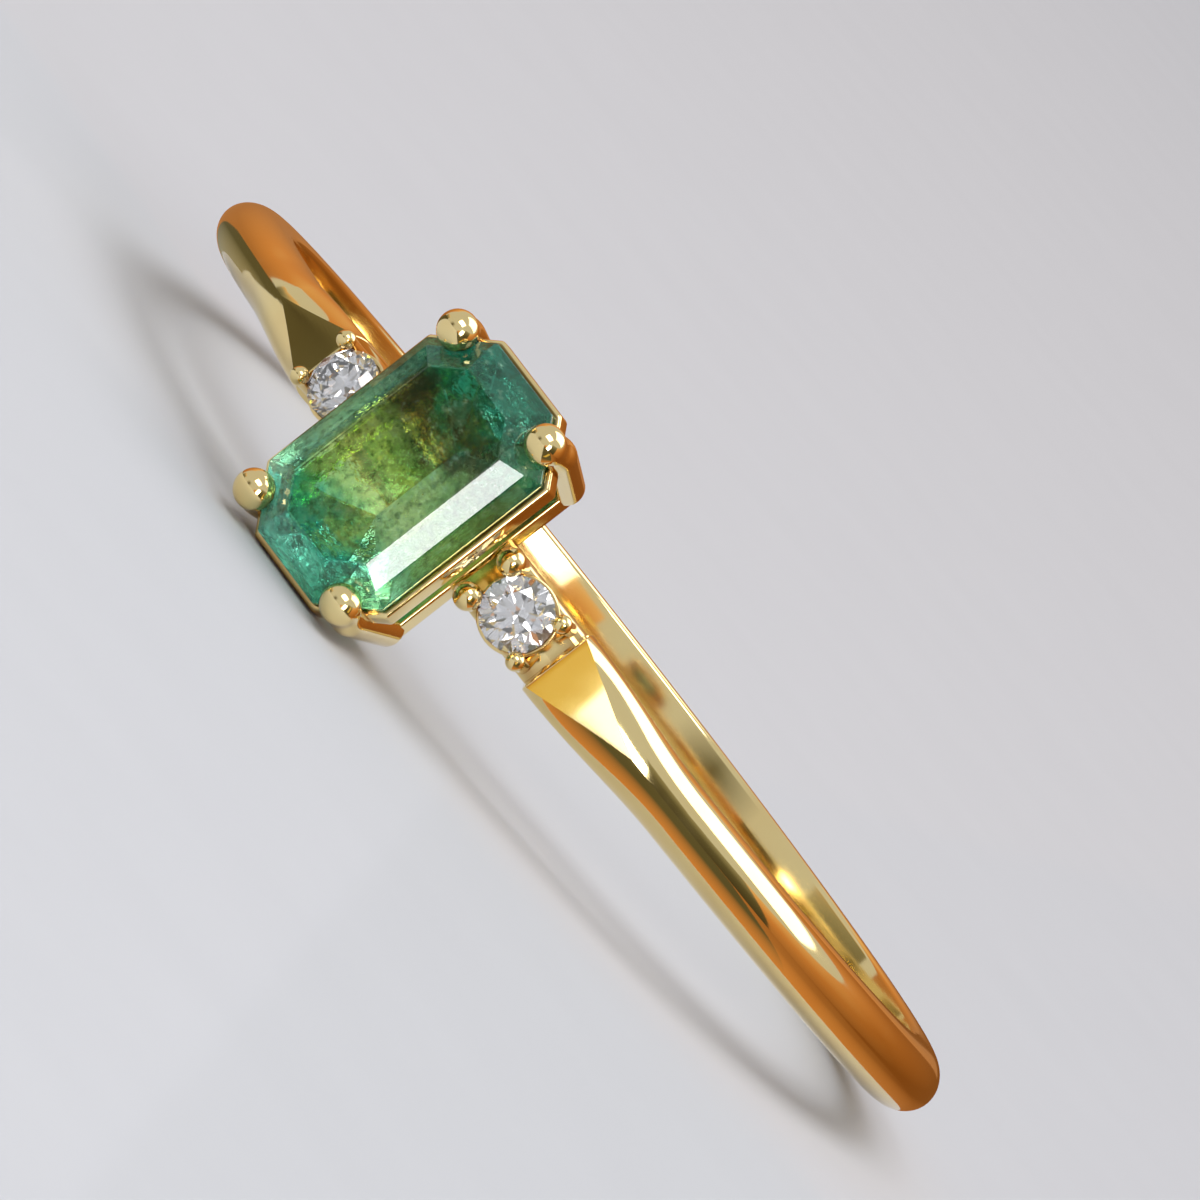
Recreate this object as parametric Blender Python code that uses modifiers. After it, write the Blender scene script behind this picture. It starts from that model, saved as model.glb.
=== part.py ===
"""A yellow gold ring with a step-cut emerald between two small round diamonds.

The ring lies on its side, its bore nearly upright, resting on the lower end of its head and on the
lower edge of the back of the band. Metres, +Z up, the head towards -Y, the floor at Z = 0.
"""

import math

import bmesh
import bpy
from mathutils import Matrix, Vector

# Band, in metres
BORE_DIAMETER = 0.0173
BAND_THICKNESS = 0.00110  # bore to the top of the dome, away from the head
SHOULDER_THICKNESS = 0.00128  # bore to the flat triangle, at the square cut of the shoulder
FACET_TIP_THICKNESS = 0.00118  # bore to the tip of that triangle
BRIDGE_THICKNESS = 0.00075  # the thin stretch that runs under the head
BACK_WIDTH = 0.00135
WAIST_WIDTH = 0.00115  # the narrowest place, between shoulder and back
SHOULDER_WIDTH = 0.00145
BRIDGE_WIDTH = 0.00130
SIDE_WALL = 0.00040  # straight part of the band's side, below the dome
SHOULDER_WALL = 0.00090  # the same at the shoulder
BRIDGE_WALL = 0.00050  # the same on the bridge
BORE_EDGE = 0.00010  # the broken edge all along the bore
DOME_FLAT = 0.00005  # half the narrow flat along the top of the dome
WAIST_ARC = 0.0036  # along the band, from the shoulder's cut to the waist
FACET_ARC = 0.0021  # length of the flat triangle filed on each shoulder
FACET_MARGIN = 0.00008  # what the triangle's base leaves of the band's width, each side
SHOULDER_GAP = 0.00018  # from a small bead to the square cut of the shoulder
SHOULDER_DRAFT = 0.00006  # how far the square cut leans

# Emerald
EMERALD_LENGTH = 0.0050  # along the bore
EMERALD_WIDTH = 0.0033
EMERALD_CORNER = 0.00085  # what is cut off each corner, along each side
EMERALD_GIRDLE = 0.00012  # thickness of the girdle
CROWN_HEIGHT = 0.00050
CROWN_INSET = 0.00062  # from the girdle's outline to the table's
LOWER_CROWN_HEIGHT = 0.00023  # the narrow facets next to the girdle
LOWER_CROWN_INSET = 0.00021
PAVILION_DEPTH = 0.00135  # girdle to keel
PAVILION_STEPS = ((0.27, 0.38), (0.58, 0.69))  # shares of the half width and of the depth
KEEL_GAP = 0.00075  # from the keel to the bridge below it

# Basket
CLAW_RADIUS = 0.00030
CLAW_BALL_RADIUS = 0.00036
CLAW_STAND = 0.00020  # from the cut corner out to the middle of the claw, at the girdle
CLAW_TIP_STAND = 0.00006  # the same at the tip
CLAW_RISE = 0.00020  # how far the ball tip stands above the table
CLAW_LEAN = 0.19  # how far a claw leans out for each unit of its height
GALLERY_HEIGHT = 0.00045  # the rail just under the girdle
GALLERY_PROUD = 0.00010  # how far it stands out from under the stone
GALLERY_LEDGE = 0.00055  # how far it reaches in under the stone
BASE_RAIL_HEIGHT = 0.00045  # the small rail that the claws start from
BASE_RAIL_WIDTH = 0.00040
BASE_RAIL_CORNER = 0.00020  # cut off each corner of the base rail's middle line
BASE_RAIL_LIFT = 0.00035  # from the bore up to the base rail

# Side stones and their seats
DIAMOND_DIAMETER = 0.0013
DIAMOND_GIRDLE = 0.00004
DIAMOND_CROWN = 0.00021
DIAMOND_PAVILION = 0.00056
DIAMOND_TABLE = 0.00074  # diameter of the table
STAR_REACH = 0.55  # how far a star facet reaches from the table towards the girdle
LOWER_HALF_REACH = 0.24  # where the lower halves stop, as a share of the girdle's radius
CULET_GAP = 0.00035  # from the point of the stone to the bridge below it
DIAMOND_GAP = 0.00016  # from the gallery rail to the side stone's edge, along the band
SEAT_RIM = 0.00005  # how far the cup's rim stands out from under the stone
SEAT_DROP = 0.00010  # from the girdle down to the rim
SEAT_FOOT = 0.00045  # radius of the cup where it meets the bridge
BIG_BEAD_RADIUS = 0.00025  # the two beads towards the emerald
SMALL_BEAD_RADIUS = 0.00017  # the two beads towards the shoulder
BEAD_OVERLAP = 0.00004  # how far a bead reaches over the edge of the stone
BIG_BEAD_TURN = 32  # degrees from the line through the three stones
SMALL_BEAD_TURN = 39
STEM_SHARE = 0.78  # a stem's radius as a share of its bead's
BEAD_RISE = 0.00010  # middle of a bead above the girdle

STONE_CLEARANCE = 0.00005  # between a stone and the metal that holds it
ROOTING = 0.00015  # how deep a stem or a cup goes into the bridge

# Fineness of the meshes
DOME_STEPS = 4
BRIDGE_STEPS = 5
FACET_STEPS = 4
WAIST_STEPS = 5
BACK_STEPS = 28
CLAW_SIDES_RESOLUTION = 3
BEAD_SIDES = 12
CUP_SIDES = 20
SHARP_FROM = 35  # degrees between faces from which an edge is crisp

BORE_RADIUS = BORE_DIAMETER / 2
BRIDGE_TOP = BORE_RADIUS + BRIDGE_THICKNESS
EMERALD_RADIUS = BRIDGE_TOP + KEEL_GAP + PAVILION_DEPTH + EMERALD_GIRDLE
DIAMOND_RADIUS = BRIDGE_TOP + CULET_GAP + DIAMOND_PAVILION + DIAMOND_GIRDLE
DIAMOND_PLACE = EMERALD_WIDTH / 2 + GALLERY_PROUD + DIAMOND_GAP + DIAMOND_DIAMETER / 2
DIAMOND_ANGLE = math.asin(DIAMOND_PLACE / DIAMOND_RADIUS)
BIG_BEAD_REACH = DIAMOND_DIAMETER / 2 + BIG_BEAD_RADIUS - BEAD_OVERLAP
SMALL_BEAD_REACH = DIAMOND_DIAMETER / 2 + SMALL_BEAD_RADIUS - BEAD_OVERLAP
SMALL_BEAD_PLACE = SMALL_BEAD_REACH * math.cos(math.radians(SMALL_BEAD_TURN))
SHOULDER_RADIUS = BORE_RADIUS + SHOULDER_THICKNESS
SHOULDER_PLACE = SMALL_BEAD_PLACE + SMALL_BEAD_RADIUS + SHOULDER_GAP
SHOULDER_ANGLE = DIAMOND_ANGLE + SHOULDER_PLACE / SHOULDER_RADIUS
FACET_END = SHOULDER_ANGLE + FACET_ARC / SHOULDER_RADIUS
WAIST_ANGLE = SHOULDER_ANGLE + WAIST_ARC / SHOULDER_RADIUS


def clear_scene():
    """Removes whatever the file opened with."""
    for old in list(bpy.data.objects):
        bpy.data.objects.remove(old, do_unlink=True)


def new_collection(name):
    made = bpy.data.collections.new(name)
    bpy.context.scene.collection.children.link(made)
    return made


def new_material(name, colour, roughness, metallic, transmission=0.0, ior=1.5):
    material = bpy.data.materials.new(name)
    material.use_nodes = True
    shader = material.node_tree.nodes["Principled BSDF"]
    shader.inputs["Base Color"].default_value = (*colour, 1.0)
    shader.inputs["Roughness"].default_value = roughness
    shader.inputs["Metallic"].default_value = metallic
    shader.inputs["Transmission Weight"].default_value = transmission
    shader.inputs["IOR"].default_value = ior
    return material


def new_object(name, mesh, collection, place, rest):
    """Puts a mesh in the ring's own frame, below the empty that lays the ring down."""
    made = bpy.data.objects.new(name, mesh)
    collection.objects.link(made)
    made.parent = rest
    made.matrix_local = place
    return made


def mesh_from(name, shape):
    mesh = bpy.data.meshes.new(name)
    shape.to_mesh(mesh)
    shape.free()
    return mesh


def shade_round(mesh):
    """Smooth shading that stays crisp along real edges."""
    mesh.shade_smooth()
    mesh.set_sharp_from_angle(angle=math.radians(SHARP_FROM))
    return mesh


def on_ring(angle, radius):
    """The frame of something set on the band: X along the band, Y along the bore, Z outward."""
    outward = Vector((math.sin(angle), -math.cos(angle), 0.0))
    along_band = Vector((math.cos(angle), math.sin(angle), 0.0))
    along_bore = Vector((0.0, 0.0, 1.0))
    frame = Matrix((along_band, along_bore, outward)).transposed().to_4x4()
    frame.translation = outward * radius
    return frame


def ease(share):
    """A soft start and stop between 0 and 1."""
    held = min(max(share, 0.0), 1.0)
    return held * held * (3.0 - 2.0 * held)


def between(start, end, share):
    return start + (end - start) * share


def steps(start, end, count):
    return [between(start, end, step / count) for step in range(count + 1)]


def section(width, thickness, wall, flat):
    """One slice through the band, as pairs of height above the bore and place along it."""
    half = width / 2
    dome_stop = math.acos(flat / half)
    dome = (thickness - wall) / math.sin(dome_stop)
    side = [(0.0, half - BORE_EDGE), (BORE_EDGE, half)]
    for turn in steps(0.0, dome_stop, DOME_STEPS):
        height = wall + dome * math.sin(turn)
        side.append((height, half * math.cos(turn)))
    return side + [(height, -place) for height, place in reversed(side)]


def crown_line(angle):
    """Bore to the top of the band: straight along the filed triangle, then running out to the waist."""
    if angle >= FACET_END:
        to_waist = ease((angle - FACET_END) / (WAIST_ANGLE - FACET_END))
        return between(FACET_TIP_THICKNESS, BAND_THICKNESS, to_waist)
    base = BORE_RADIUS + SHOULDER_THICKNESS
    tip = BORE_RADIUS + FACET_TIP_THICKNESS
    spread = base * math.sin(angle - SHOULDER_ANGLE) + tip * math.sin(FACET_END - angle)
    return base * tip * math.sin(FACET_END - SHOULDER_ANGLE) / spread - BORE_RADIUS


def band_section(angle):
    """The slice of the domed band at an angle from the head."""
    to_waist = ease((angle - SHOULDER_ANGLE) / (WAIST_ANGLE - SHOULDER_ANGLE))
    to_back = ease((angle - WAIST_ANGLE) / (math.pi - WAIST_ANGLE))
    width = between(between(SHOULDER_WIDTH, WAIST_WIDTH, to_waist), BACK_WIDTH, to_back)
    thickness = crown_line(angle)
    wall = between(SHOULDER_WALL, SIDE_WALL, to_waist)
    facet_left = max(0.0, (FACET_END - angle) / (FACET_END - SHOULDER_ANGLE))
    flat = between(DOME_FLAT, width / 2 - FACET_MARGIN, facet_left)
    return section(width, thickness, wall, flat)


def bridge_section():
    """The slice of the thin bridge, with softly rounded upper edges."""
    rounded = BRIDGE_THICKNESS - BRIDGE_WALL
    return section(BRIDGE_WIDTH, BRIDGE_THICKNESS, BRIDGE_WALL, BRIDGE_WIDTH / 2 - rounded)


def band_mesh():
    """The whole band as one closed loft of slices round the bore."""
    draft = SHOULDER_DRAFT / SHOULDER_RADIUS
    half = [(angle, bridge_section()) for angle in steps(0.0, SHOULDER_ANGLE - draft, BRIDGE_STEPS)]
    half += [(angle, band_section(angle)) for angle in steps(SHOULDER_ANGLE, FACET_END, FACET_STEPS)]
    half += [(angle, band_section(angle)) for angle in steps(FACET_END, WAIST_ANGLE, WAIST_STEPS)[1:]]
    half += [(angle, band_section(angle)) for angle in steps(WAIST_ANGLE, math.pi, BACK_STEPS)[1:]]
    slices = half + [(-angle, outline) for angle, outline in reversed(half[1:-1])]

    shape = bmesh.new()
    rings = []
    for angle, outline in slices:
        frame = on_ring(angle, BORE_RADIUS)
        rings.append([shape.verts.new(frame @ Vector((0.0, place, height))) for height, place in outline])
    for ring, following in zip(rings, rings[1:] + rings[:1]):
        for corner in range(len(ring)):
            before = corner - 1
            shape.faces.new((ring[before], ring[corner], following[corner], following[before]))
    bmesh.ops.recalc_face_normals(shape, faces=shape.faces)
    return shade_round(mesh_from("band", shape))


def octagon(length, width, corner, outset=0.0):
    """A rectangle with cut corners, grown by outset on every side. X runs across, Y along."""
    along = length / 2 + outset
    across = width / 2 + outset
    cut = corner + outset * (2.0 - math.sqrt(2.0))
    quarter = [(across, along - cut), (across - cut, along)]
    right = quarter + [(-x, y) for x, y in reversed(quarter)]
    return right + [(-x, -y) for x, y in right]


def cut_stone(name, points):
    """A stone is the hull of its facets' corners. Facets in one plane are joined up again."""
    shape = bmesh.new()
    for point in points:
        shape.verts.new(point)
    bmesh.ops.convex_hull(shape, input=shape.verts)
    bmesh.ops.dissolve_limit(shape, angle_limit=0.002, verts=shape.verts, edges=shape.edges)
    bmesh.ops.recalc_face_normals(shape, faces=shape.faces)
    return mesh_from(name, shape)


def emerald_mesh(name, clearance=0.0):
    """A step-cut stone with two rows of crown facets and three of pavilion, ending in a keel."""
    half_width = EMERALD_WIDTH / 2
    outlines = [
        (CROWN_HEIGHT + clearance, -CROWN_INSET),
        (LOWER_CROWN_HEIGHT + clearance, -LOWER_CROWN_INSET),
        (clearance, 0.0),
        (-EMERALD_GIRDLE - clearance, 0.0),
    ]
    for inset_share, depth_share in PAVILION_STEPS:
        depth = EMERALD_GIRDLE + PAVILION_DEPTH * depth_share
        outlines.append((-depth - clearance, -half_width * inset_share))
    points = []
    for height, outset in outlines:
        for x, y in octagon(EMERALD_LENGTH, EMERALD_WIDTH, EMERALD_CORNER, outset + clearance):
            points.append((x, y, height))
    keel_half = (EMERALD_LENGTH - EMERALD_WIDTH) / 2 + clearance
    keel_depth = EMERALD_GIRDLE + PAVILION_DEPTH + clearance
    points += [(0.0, keel_half, -keel_depth), (0.0, -keel_half, -keel_depth)]
    return cut_stone(name, points)


def diamond_mesh(name, clearance=0.0):
    """A round brilliant: table, star, kite and girdle facets over a pavilion with a point."""
    girdle = DIAMOND_DIAMETER / 2 + clearance
    table = DIAMOND_TABLE / 2 + clearance
    side = math.cos(math.pi / 8)
    star = between(table * side, girdle, STAR_REACH)
    star_height = DIAMOND_CROWN * (girdle - star * side) / (girdle - table)
    low = girdle * LOWER_HALF_REACH
    low_depth = DIAMOND_PAVILION * (1 - low * side / girdle)
    below = -DIAMOND_GIRDLE - clearance
    rows = [
        (table, DIAMOND_CROWN + clearance, 8, 0.0),
        (star, star_height + clearance, 8, 0.5),
        (girdle, clearance, 16, 0.0),
        (girdle, below, 16, 0.0),
        (low, below - low_depth, 8, 0.5),
    ]
    points = [(0.0, 0.0, below - DIAMOND_PAVILION)]
    for radius, height, count, offset in rows:
        for step in range(count):
            turn = math.tau * (step + offset) / count
            points.append((radius * math.cos(turn), radius * math.sin(turn), height))
    return cut_stone(name, points)


def as_mesh(curve_object):
    """Turns a curve object into a closed mesh, its caps welded on, and removes the curve."""
    graph = bpy.context.evaluated_depsgraph_get()
    mesh = bpy.data.meshes.new_from_object(curve_object.evaluated_get(graph))
    shape = bmesh.new()
    shape.from_mesh(mesh)
    bmesh.ops.remove_doubles(shape, verts=shape.verts, dist=1e-7)
    bmesh.ops.recalc_face_normals(shape, faces=shape.faces)
    shape.to_mesh(mesh)
    shape.free()
    bpy.data.objects.remove(curve_object, do_unlink=True)
    return shade_round(mesh)


def wire_mesh(name, path, collection):
    """A round wire along a path of points, each with the wire's radius there."""
    curve = bpy.data.curves.new(name, "CURVE")
    curve.dimensions = "3D"
    curve.bevel_depth = 1.0
    curve.bevel_resolution = CLAW_SIDES_RESOLUTION
    curve.use_fill_caps = True
    spline = curve.splines.new("POLY")
    spline.points.add(len(path) - 1)
    for point, (place, radius) in zip(spline.points, path):
        point.co = (*place, 1.0)
        point.radius = radius
    holder = bpy.data.objects.new(name, curve)
    collection.objects.link(holder)
    return as_mesh(holder)


def rail_mesh(name, outer, inner, height, collection):
    """A flat frame between two outlines, its upper face at height 0."""
    curve = bpy.data.curves.new(name, "CURVE")
    curve.dimensions = "2D"
    curve.fill_mode = "BOTH"
    curve.extrude = height / 2
    for outline in (outer, inner):
        spline = curve.splines.new("POLY")
        spline.points.add(len(outline) - 1)
        for point, (x, y) in zip(spline.points, outline):
            point.co = (x, y, 0.0, 1.0)
        spline.use_cyclic_u = True
    holder = bpy.data.objects.new(name, curve)
    collection.objects.link(holder)
    mesh = as_mesh(holder)
    mesh.transform(Matrix.Translation((0.0, 0.0, -height / 2)))
    return mesh


def turned(name, profile, sides, collection, place, rest):
    """A turned piece: a profile from top to bottom, swept round Z by a Screw modifier."""
    mesh = bpy.data.meshes.new(name)
    points = [(radius, 0.0, height) for radius, height in profile]
    mesh.from_pydata(points, [(step, step + 1) for step in range(len(points) - 1)], [])
    made = new_object(name, mesh, collection, place, rest)
    screw = made.modifiers.new("Turn", "SCREW")
    screw.steps = sides
    screw.render_steps = sides
    screw.use_merge_vertices = True
    screw.merge_threshold = 0.000001
    return made


def claw_path(across, along):
    """The middle line of one claw from the base rail, past the girdle, to its ball over the corner."""
    corner = Vector((EMERALD_WIDTH - EMERALD_CORNER, EMERALD_LENGTH - EMERALD_CORNER, 0.0)) / 2
    outward = Vector((1.0, 1.0, 0.0)).normalized()
    ball_height = CROWN_HEIGHT + CLAW_RISE - CLAW_BALL_RADIUS

    def point(height, stand):
        middle = corner + outward * stand
        return Vector((across * middle.x, along * middle.y, height))

    def stem(height):
        return point(height, CLAW_STAND + CLAW_LEAN * min(height, 0.0))

    path = [(stem(height), CLAW_RADIUS) for height in steps(base_rail_middle(), 0.0, 3)]
    shoulder_height = ball_height * 0.5
    path.append((point(shoulder_height, between(CLAW_STAND, CLAW_TIP_STAND, 0.4)), CLAW_BALL_RADIUS * 0.93))
    for turn in (0.0, 30.0, 55.0, 75.0):
        rise = CLAW_BALL_RADIUS * math.sin(math.radians(turn))
        radius = CLAW_BALL_RADIUS * math.cos(math.radians(turn))
        path.append((point(ball_height + rise, CLAW_TIP_STAND), radius))
    return path


def base_rail_top():
    """Height of the base rail's upper face, from the emerald's girdle."""
    return BORE_RADIUS + BASE_RAIL_LIFT + BASE_RAIL_HEIGHT - EMERALD_RADIUS


def base_rail_middle():
    return base_rail_top() - BASE_RAIL_HEIGHT / 2


def bead_profile(radius, depth):
    """A bead on its stem, from the top of the bead down to the stem's end."""
    stem = radius * STEM_SHARE
    profile = [(radius * math.sin(turn), radius * math.cos(turn)) for turn in steps(0.0, math.pi / 2, 3)]
    neck = math.asin(STEM_SHARE)
    profile.append((stem, -radius * math.cos(neck)))
    return profile + [(stem, -depth), (0.0, -depth)]


def make_basket(joined, rest):
    """Claws, gallery rail and base rail, each overlapping what it is soldered to."""
    head = on_ring(0.0, EMERALD_RADIUS)
    pieces = []
    for across in (1, -1):
        for along in (1, -1):
            name = f"claw_{'right' if across > 0 else 'left'}_{'up' if along > 0 else 'down'}"
            mesh = wire_mesh(name, claw_path(across, along), joined)
            pieces.append(new_object(name, mesh, joined, head, rest))

    stone = (EMERALD_LENGTH, EMERALD_WIDTH, EMERALD_CORNER)
    gallery = rail_mesh(
        "gallery_rail",
        octagon(*stone, GALLERY_PROUD),
        octagon(*stone, -GALLERY_LEDGE),
        GALLERY_HEIGHT,
        joined,
    )
    under_girdle = Matrix.Translation((0.0, 0.0, -EMERALD_GIRDLE - STONE_CLEARANCE))
    pieces.append(new_object("gallery_rail", gallery, joined, head @ under_girdle, rest))

    foot = claw_path(1, 1)[0][0]
    middle_line = (2 * foot.y, 2 * foot.x, BASE_RAIL_CORNER)
    base = rail_mesh(
        "base_rail",
        octagon(*middle_line, BASE_RAIL_WIDTH / 2),
        octagon(*middle_line, -BASE_RAIL_WIDTH / 2),
        BASE_RAIL_HEIGHT,
        joined,
    )
    low = Matrix.Translation((0.0, 0.0, base_rail_top()))
    pieces.append(new_object("base_rail", base, joined, head @ low, rest))
    return pieces


def make_seat(side, joined, rest):
    """The cup under one side stone, with its four beads."""
    name = "right" if side > 0 else "left"
    frame = on_ring(side * DIAMOND_ANGLE, DIAMOND_RADIUS)
    depth = DIAMOND_RADIUS - BRIDGE_TOP + ROOTING
    rim = DIAMOND_DIAMETER / 2 + SEAT_RIM
    top = -DIAMOND_GIRDLE - SEAT_DROP
    cup_profile = [(0.0, top), (rim, top), (rim, top - SEAT_DROP), (SEAT_FOOT, -depth), (0.0, -depth)]
    pieces = [turned(f"cup_{name}", cup_profile, CUP_SIDES, joined, frame, rest)]

    beads = (
        ("big", BIG_BEAD_RADIUS, BIG_BEAD_REACH, BIG_BEAD_TURN, -side),
        ("small", SMALL_BEAD_RADIUS, SMALL_BEAD_REACH, SMALL_BEAD_TURN, side),
    )
    for kind, radius, reach, turn, way in beads:
        for along in (1, -1):
            x = way * reach * math.cos(math.radians(turn))
            y = along * reach * math.sin(math.radians(turn))
            spot = frame @ Matrix.Translation((x, y, BEAD_RISE))
            profile = bead_profile(radius, depth + BEAD_RISE)
            label = f"{kind}_bead_{name}_{'up' if along > 0 else 'down'}"
            pieces.append(turned(label, profile, BEAD_SIDES, joined, spot, rest))
    return pieces


def hide_helper(helper):
    helper.hide_render = True
    helper.display_type = "WIRE"


def combine(target, helper, operation):
    change = target.modifiers.new(f"{operation.title()} {helper.name}", "BOOLEAN")
    change.operation = operation
    change.solver = "EXACT"
    change.object = helper
    hide_helper(helper)


def shade(made, material):
    made.data.materials.clear()
    made.data.materials.append(material)


def world_points(made):
    """The corners of an object's finished mesh, in world space."""
    graph = bpy.context.evaluated_depsgraph_get()
    ready = made.evaluated_get(graph)
    mesh = ready.to_mesh()
    points = [ready.matrix_world @ corner.co for corner in mesh.vertices]
    ready.to_mesh_clear()
    return points


def lower_outline(points):
    """The lower edge of the ring's side view, as a chain of corners from the head to the back."""
    chain = []
    for spot in sorted((point.y, point.z) for point in points):
        while len(chain) > 1:
            (y0, z0), (y1, z1) = chain[-2:]
            if (y1 - y0) * (spot[1] - z0) > (z1 - z0) * (spot[0] - y0):
                break
            chain.pop()
        chain.append(spot)
    return chain


def lay_down(rest, metal, loose):
    """Tips the ring until it rests on its head and its back, and centres it on the origin."""
    chain = lower_outline(world_points(metal))
    for (y0, z0), (y1, z1) in zip(chain, chain[1:]):
        if y0 <= 0.0 < y1:
            rest.rotation_euler.x = -math.atan2(z1 - z0, y1 - y0)
    bpy.context.view_layer.update()
    points = [point for piece in (metal, *loose) for point in world_points(piece)]
    front = min(point.y for point in points)
    back = max(point.y for point in points)
    floor = min(point.z for point in points)
    rest.location = (0.0, -(front + back) / 2, -floor)
    bpy.context.view_layer.update()


def main():
    clear_scene()
    ring = new_collection("emerald_ring")
    joined = new_collection("joined_and_cutters")
    rest = bpy.data.objects.new("ring_at_rest", None)
    ring.objects.link(rest)

    gold = new_material("yellow_gold", (0.83, 0.58, 0.24), 0.12, 1.0)
    green = new_material("emerald_green", (0.06, 0.36, 0.18), 0.03, 0.0, 0.85, 1.58)
    white = new_material("diamond_white", (0.95, 0.95, 0.96), 0.01, 0.0, 0.9, 2.4)

    metal = new_object("band_and_setting", band_mesh(), ring, Matrix.Identity(4), rest)
    shade(metal, gold)
    for piece in make_basket(joined, rest) + make_seat(1, joined, rest) + make_seat(-1, joined, rest):
        combine(metal, piece, "UNION")

    head = on_ring(0.0, EMERALD_RADIUS)
    emerald = new_object("emerald", emerald_mesh("emerald"), ring, head, rest)
    shade(emerald, green)
    stones = [emerald]
    notch = new_object("emerald_notch", emerald_mesh("notch", STONE_CLEARANCE), joined, head, rest)
    combine(metal, notch, "DIFFERENCE")
    for side, name in ((1, "right"), (-1, "left")):
        spot = on_ring(side * DIAMOND_ANGLE, DIAMOND_RADIUS)
        diamond = new_object(f"diamond_{name}", diamond_mesh(f"diamond_{name}"), ring, spot, rest)
        shade(diamond, white)
        stones.append(diamond)
        mesh = diamond_mesh(f"seat_{name}", STONE_CLEARANCE)
        seat = new_object(f"diamond_seat_{name}", mesh, joined, spot, rest)
        combine(metal, seat, "DIFFERENCE")

    lay_down(rest, metal, stones)


main()
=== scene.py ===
# %% [markdown]
# # A yellow gold ring with an emerald between two small diamonds
#
# This lesson dresses a ring whose solids are already made and packed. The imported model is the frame: it
# says how big the ring is and where it lies, and nothing here moves it. The solids are kept plain on
# purpose, so each visible piece is made again here, finer, in the same place: a polished surface is a
# mirror, and a mirror shows every flat and every kink of the mesh below it.

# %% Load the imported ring
import math

import bmesh
import bpy
from mathutils import Matrix, Vector


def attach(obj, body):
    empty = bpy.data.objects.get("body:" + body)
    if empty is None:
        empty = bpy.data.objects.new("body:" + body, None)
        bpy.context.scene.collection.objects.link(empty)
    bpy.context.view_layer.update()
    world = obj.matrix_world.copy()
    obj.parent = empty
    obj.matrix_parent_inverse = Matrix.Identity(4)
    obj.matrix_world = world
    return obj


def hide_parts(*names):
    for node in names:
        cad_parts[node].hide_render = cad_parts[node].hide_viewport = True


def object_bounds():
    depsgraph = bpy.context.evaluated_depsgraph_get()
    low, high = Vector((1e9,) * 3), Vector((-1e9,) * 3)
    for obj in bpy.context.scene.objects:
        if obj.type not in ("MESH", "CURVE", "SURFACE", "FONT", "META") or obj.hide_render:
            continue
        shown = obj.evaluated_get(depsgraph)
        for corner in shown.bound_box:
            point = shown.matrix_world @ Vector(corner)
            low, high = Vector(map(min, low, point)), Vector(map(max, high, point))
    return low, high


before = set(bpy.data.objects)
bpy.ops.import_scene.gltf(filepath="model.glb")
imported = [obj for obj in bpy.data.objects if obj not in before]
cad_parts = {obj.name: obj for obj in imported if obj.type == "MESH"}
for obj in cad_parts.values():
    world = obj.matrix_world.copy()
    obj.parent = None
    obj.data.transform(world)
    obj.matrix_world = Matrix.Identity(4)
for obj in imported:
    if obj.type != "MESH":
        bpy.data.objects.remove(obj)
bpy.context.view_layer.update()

MM = 0.001
print("solids:", sorted(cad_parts))

# %% [markdown]
# ## Where the ring lies
#
# The ring lies on its side and leans a little, because its head is taller than its band is wide. The lean
# could be typed in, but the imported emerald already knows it: its table is its largest flat face, so that
# face's direction is the way that the head looks. The bore's middle is then straight behind the table, at
# the distance that the driving sizes give.

# %% Driving sizes of the ring
BORE_RADIUS = 17.3 * MM / 2
BRIDGE_THICKNESS = 0.75 * MM

EMERALD_LENGTH = 5.0 * MM  # along the bore
EMERALD_WIDTH = 3.3 * MM
EMERALD_CORNER = 0.85 * MM
EMERALD_GIRDLE = 0.12 * MM
CROWN_HEIGHT = 0.50 * MM
PAVILION_DEPTH = 1.35 * MM
KEEL_GAP = 0.75 * MM

DIAMOND_DIAMETER = 1.3 * MM
DIAMOND_GIRDLE = 0.04 * MM
DIAMOND_PAVILION = 0.56 * MM
CULET_GAP = 0.35 * MM
DIAMOND_GAP = 0.16 * MM
GALLERY_PROUD = 0.10 * MM

BRIDGE_TOP = BORE_RADIUS + BRIDGE_THICKNESS
EMERALD_RADIUS = BRIDGE_TOP + KEEL_GAP + PAVILION_DEPTH + EMERALD_GIRDLE
DIAMOND_RADIUS = BRIDGE_TOP + CULET_GAP + DIAMOND_PAVILION + DIAMOND_GIRDLE
DIAMOND_PLACE = EMERALD_WIDTH / 2 + GALLERY_PROUD + DIAMOND_GAP + DIAMOND_DIAMETER / 2
DIAMOND_ANGLE = math.asin(DIAMOND_PLACE / DIAMOND_RADIUS)
print("girdle of the emerald:", round(EMERALD_RADIUS / MM, 2), "mm from the bore's axis")


# %% Read the lean from the emerald's table
def largest_flat(stone):
    """The middle and the direction of a packed stone's largest flat face."""
    flats = {}
    for face in stone.data.polygons:
        facing = tuple(round(part, 2) for part in face.normal)
        area, middle, way = flats.get(facing, (0.0, Vector(), Vector()))
        middle = middle + face.center * face.area
        way = way + face.normal * face.area
        flats[facing] = (area + face.area, middle, way)
    area, middle, way = max(flats.values(), key=lambda flat: flat[0])
    return middle / area, way.normalized()


table_middle, outward = largest_flat(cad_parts["emerald"])
across = Vector((1.0, 0.0, 0.0))
LYING = Matrix((across, -outward, across.cross(-outward))).transposed().to_4x4()
LYING.translation = table_middle - outward * (EMERALD_RADIUS + CROWN_HEIGHT)


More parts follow.
